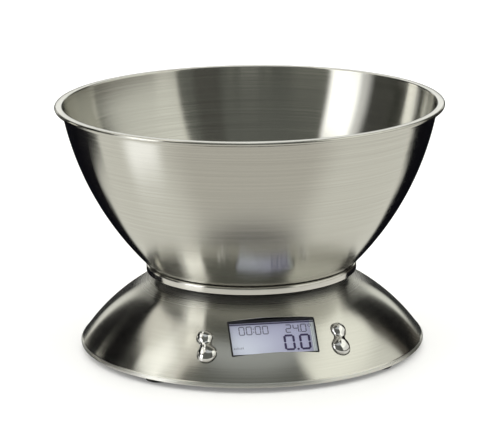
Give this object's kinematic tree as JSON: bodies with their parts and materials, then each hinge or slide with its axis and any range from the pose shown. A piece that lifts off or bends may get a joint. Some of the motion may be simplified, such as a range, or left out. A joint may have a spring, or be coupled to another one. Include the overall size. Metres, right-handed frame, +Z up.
{
  "type": "kitchen scale",
  "caption": "Round digital kitchen scale with a flared steel base, a tilted display between rocker buttons and a lift-off steel mixing bowl.",
  "frame": {"origin": "on the table under the middle of the scale, at the height of the feet's undersides", "axes": "+Z up along the axis of the bowl and base, -Y towards the display and the user, +X to the user's right"},
  "size_m": [0.216, 0.216, 0.1386],
  "materials": {
    "bowl_steel": "circumferentially brushed stainless steel, satin",
    "tray_steel": "stainless steel, polished edge",
    "skirt_steel": "circumferentially brushed stainless steel, satin",
    "chrome": "bright chrome plate",
    "zinc": "zinc-plated steel",
    "aluminium": "milled",
    "dark_plastic": "fine moulded texture",
    "grey_plastic": "fine moulded texture",
    "white_plastic": "satin diffuser",
    "rubber": "matt",
    "window": "clear acrylic",
    "lcd": "grey-lavender reflective display",
    "board": "green solder mask",
    "silicone": "off-white silicone",
    "battery": "plain printed sleeve, no mark",
    "red_wire": "red insulation",
    "black_wire": "black insulation",
    "cable": "white insulation",
    "label": "blank silver-grey label"
  },
  "bodies": {
    "base": {"base_plate": "dark_plastic", "base_screw_1": "zinc", "base_screw_2": "zinc", "base_screw_3": "zinc", "base_screw_4": "zinc", "battery_contact_bridge": "zinc", "battery_contact_minus": "zinc", "battery_contact_plus": "zinc", "battery_front": "battery", "battery_front_spring": "zinc", "battery_rear": "battery", "battery_rear_spring": "zinc", "battery_wire_black": "black_wire", "battery_wire_red": "red_wire", "board_screw_1": "zinc", "board_screw_2": "zinc", "board_screw_3": "zinc", "board_screw_4": "zinc", "button_pivot_left": "grey_plastic", "button_pivot_right": "grey_plastic", "buzzer": "dark_plastic", "controller_chip": "dark_plastic", "display_frame": "dark_plastic", "display_screw_1": "zinc", "display_screw_2": "zinc", "foot_front_left": "rubber", "foot_front_right": "rubber", "foot_rear_left": "rubber", "foot_rear_right": "rubber", "inner_frame": "grey_plastic", "lcd_backlight": "white_plastic", "lcd_connector_lower": "silicone", "lcd_connector_upper": "silicone", "lcd_panel": "lcd", "lcd_window": "window", "load_cell": "aluminium", "load_cell_cable": "cable", "load_cell_screw_1": "zinc", "load_cell_screw_2": "zinc", "lower_spacer": "zinc", "main_board": "board", "press_switch_1": "dark_plastic", "press_switch_2": "dark_plastic", "press_switch_3": "dark_plastic", "press_switch_4": "dark_plastic", "rating_label": "label", "skirt_shell": "skirt_steel", "strain_gauge_pad_lower": "silicone", "strain_gauge_pad_upper": "silicone", "temperature_sensor": "dark_plastic"},
    "platform": {"platform_tray": "tray_steel", "platform_carrier": "grey_plastic", "upper_spacer": "zinc", "carrier_screw_1": "zinc", "carrier_screw_2": "zinc"},
    "bowl": {"bowl": "bowl_steel"},
    "button_left": {"button_left": "chrome"},
    "button_right": {"button_right": "chrome"},
    "battery_door": {"battery_door": "dark_plastic"}
  },
  "joints": [
    {"name": "platform_press", "type": "slide", "parent": "base", "child": "platform", "axis": [0, 0, 1], "range_m": [-0.0002, 0], "stiffness_N_per_m": 30000, "springref_m": 0.0002, "deforming": ["load_cell"]},
    {"name": "bowl_lift", "type": "slide", "parent": "platform", "child": "bowl", "axis": [0, 0, 1], "range_m": [0, 0.12]},
    {"name": "rock_left", "type": "hinge", "parent": "base", "child": "button_left", "pos_m": [-0.03539, -0.07136, 0.0184], "axis": [0.9514, -0.2009, 0.2333], "range_deg": [-3, 3], "stiffness_Nm_per_rad": 0.1},
    {"name": "rock_right", "type": "hinge", "parent": "base", "child": "button_right", "pos_m": [0.03539, -0.07136, 0.0184], "axis": [0.9514, 0.2009, -0.2333], "range_deg": [-3, 3], "stiffness_Nm_per_rad": 0.1},
    {"name": "battery_hinge", "type": "hinge", "parent": "base", "child": "battery_door", "pos_m": [0, 0.0306, 0.0039], "axis": [-1, 0, 0], "range_deg": [0, 75]}
  ]
}
